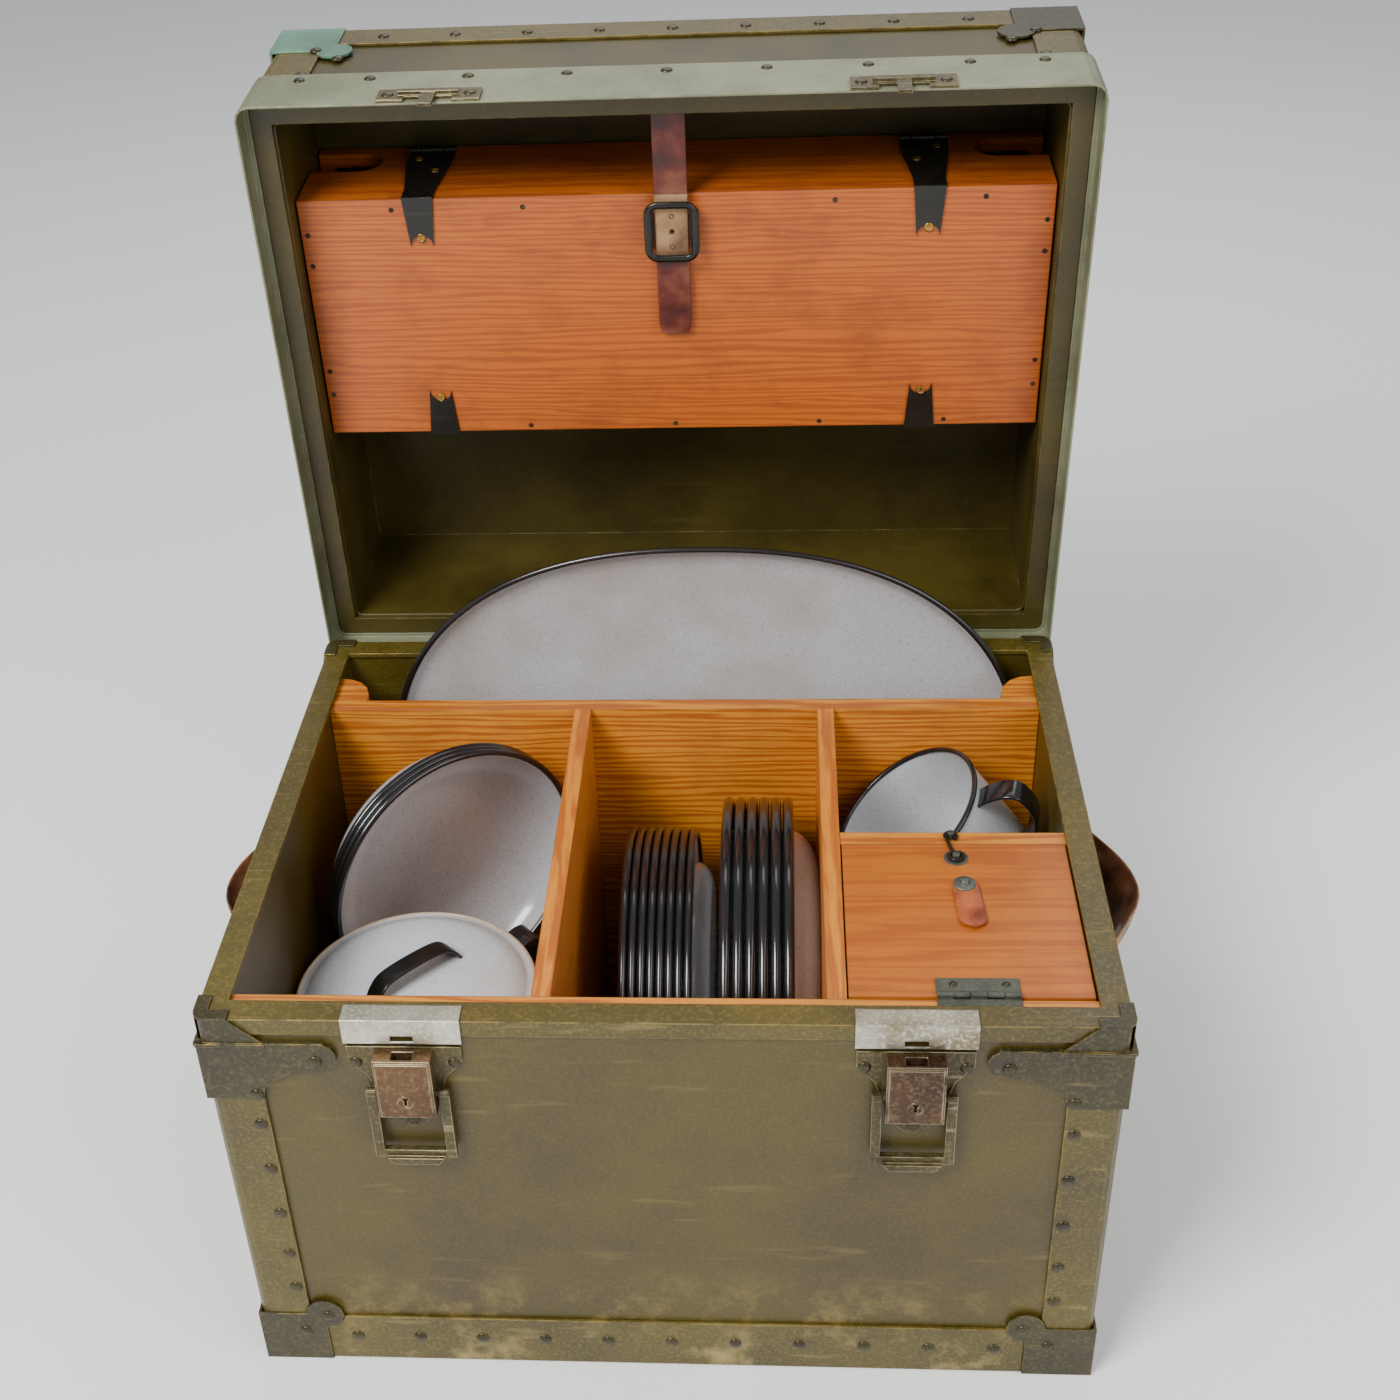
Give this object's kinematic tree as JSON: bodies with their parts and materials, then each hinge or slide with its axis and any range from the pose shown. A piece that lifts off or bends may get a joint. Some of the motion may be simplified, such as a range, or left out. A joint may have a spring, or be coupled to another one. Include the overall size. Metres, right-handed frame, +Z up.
{
  "type": "mess footlocker",
  "caption": "Steel-bound plywood trunk with a hinged lid, draw latches, leather side handles, a fall-front till in the lid and a wooden rack of enamelled mess ware.",
  "frame": {"origin": "middle of the ground the open footlocker covers, on the plane its foot caps stand on", "axes": "+X runs to the right seen from the front, the front with the latches faces -Y, +Z is up; at rest the lid stands open 85.8 degrees and leans back over +Y"},
  "size_m": [0.646, 0.6074, 0.7457],
  "materials": {
    "fibre": "olive drab paint over fibre-covered plywood, scuffed pale low down",
    "lid_inside": "dark olive paint over fibre-covered plywood",
    "binding": "olive drab painted steel angle, edges worn yellowish",
    "cap": "dark olive painted steel, domed rivets",
    "valance": "grey-green painted steel sheet",
    "worn_steel": "bare, speckled and worn bright",
    "latch": "dark olive steel with bright scratched edges",
    "lock": "coppery brown worn steel with bright edges",
    "black_iron": "black japanned iron",
    "pine": "varnished pine, straight grain",
    "till_wood": "orange varnished softwood",
    "ply": "varnished plywood",
    "handle_leather": "stitched harness leather, worn tan",
    "strap_leather": "dark red-brown strap leather, creased",
    "enamel": "grey speckled enamel on steel with black rolled rims"
  },
  "bodies": {
    "trunk": {"body_shell": "fibre", "body_rim_channel": "binding", "body_edge_binding": "binding", "rim_cap_front_left": "cap", "rim_cap_front_right": "cap", "rim_cap_rear_left": "cap", "rim_cap_rear_right": "cap", "foot_cap_front_left": "cap", "foot_cap_front_right": "cap", "foot_cap_rear_left": "cap", "foot_cap_rear_right": "cap", "lid_hinge_body_leaf": "latch", "strike_sleeve_left": "worn_steel", "strike_sleeve_right": "worn_steel", "latch_plate_left": "latch", "latch_plate_right": "latch", "lock_case_left": "lock", "lock_case_right": "lock", "handle_plate_left": "latch", "handle_plate_right": "latch", "rack_front_board": "pine", "rack_rear_board": "pine", "rack_left_divider": "pine", "rack_right_divider": "pine", "rack_cross_board": "pine", "utensil_hinge_fixed_leaf": "black_iron"},
    "lid": {"lid_shell": "lid_inside", "lid_valance": "valance", "lid_edge_binding": "binding", "lid_cap_front_left": "cap", "lid_cap_front_right": "cap", "lid_cap_rear_left": "cap", "lid_cap_rear_right": "cap", "lid_hinge_lid_leaf": "latch", "keeper_plate_left": "latch", "keeper_plate_right": "latch", "till_hinge_lid_leaf_left": "black_iron", "till_hinge_lid_leaf_right": "black_iron", "till_strap": "strap_leather"},
    "till": {"till_frame": "till_wood", "till_front_panel": "till_wood", "till_catch_leaf_left": "black_iron", "till_catch_leaf_right": "black_iron", "till_hinge_leaf_left": "black_iron", "till_hinge_leaf_right": "black_iron", "strap_buckle": "black_iron"},
    "left_bail": {"latch_bail_left": "latch"},
    "right_bail": {"latch_bail_right": "latch"},
    "left_handle": {"handle_grip_left": "handle_leather"},
    "right_handle": {"handle_grip_right": "handle_leather"},
    "utensil_cover": {"utensil_lid": "ply", "utensil_hinge_lid_leaf": "black_iron"},
    "hook": {"box_hook": "black_iron"},
    "platter": {"platter": "enamel"},
    "bowls": {"mixing_bowls": "enamel"},
    "pot": {"pot": "enamel"},
    "pot_cover": {"pot_lid": "enamel"},
    "plates": {"plates": "enamel"},
    "soup_bowls": {"soup_bowls": "enamel"},
    "cup": {"cup": "enamel"}
  },
  "joints": [
    {"name": "lid_hinge", "type": "hinge", "parent": "trunk", "child": "lid", "pos_m": [0, 0.14856, 0.295], "axis": [-1, 0, 0], "range_deg": [-85.8, 0]},
    {"name": "till_drop", "type": "hinge", "parent": "lid", "child": "till", "pos_m": [0, 0.27346, 0.47844], "axis": [1, 0, 0], "range_deg": [0, 62], "deforming": ["till_strap"]},
    {"name": "left_bail_swing", "type": "hinge", "parent": "trunk", "child": "left_bail", "pos_m": [-0.153, -0.29474, 0.259], "axis": [-1, 0, 0], "range_deg": [0, 172]},
    {"name": "right_bail_swing", "type": "hinge", "parent": "trunk", "child": "right_bail", "pos_m": [0.153, -0.29474, 0.259], "axis": [-1, 0, 0], "range_deg": [0, 172]},
    {"name": "left_handle_lift", "type": "hinge", "parent": "trunk", "child": "left_handle", "pos_m": [-0.2875, -0.07444, 0.235], "axis": [0, 1, 0], "range_deg": [0, 60]},
    {"name": "right_handle_lift", "type": "hinge", "parent": "trunk", "child": "right_handle", "pos_m": [0.2875, -0.07444, 0.235], "axis": [0, -1, 0], "range_deg": [0, 60]},
    {"name": "utensil_lid_hinge", "type": "hinge", "parent": "trunk", "child": "utensil_cover", "pos_m": [0.191, -0.26104, 0.3114], "axis": [1, 0, 0], "range_deg": [0, 100]},
    {"name": "hook_swing", "type": "hinge", "parent": "utensil_cover", "child": "hook", "pos_m": [0.188, -0.12644, 0.3109], "axis": [0, 0, 1], "range_deg": [0, 90]},
    {"name": "platter_lift", "type": "slide", "parent": "trunk", "child": "platter", "axis": [0, 0, 1], "range_m": [0, 0.02]},
    {"name": "bowls_lift", "type": "slide", "parent": "trunk", "child": "bowls", "axis": [0, 0, 1], "range_m": [0, 0.25]},
    {"name": "pot_lift", "type": "slide", "parent": "trunk", "child": "pot", "axis": [0, 0, 1], "range_m": [0, 0.25]},
    {"name": "plates_lift", "type": "slide", "parent": "trunk", "child": "plates", "axis": [0, 0, 1], "range_m": [0, 0.25]},
    {"name": "soup_bowls_lift", "type": "slide", "parent": "trunk", "child": "soup_bowls", "axis": [0, 0, 1], "range_m": [0, 0.25]},
    {"name": "cup_lift", "type": "slide", "parent": "trunk", "child": "cup", "axis": [0, 0, 1], "range_m": [0, 0.2]},
    {"name": "pot_cover_lift", "type": "slide", "parent": "pot", "child": "pot_cover", "axis": [0, 0, 1], "range_m": [0, 0.15]}
  ]
}
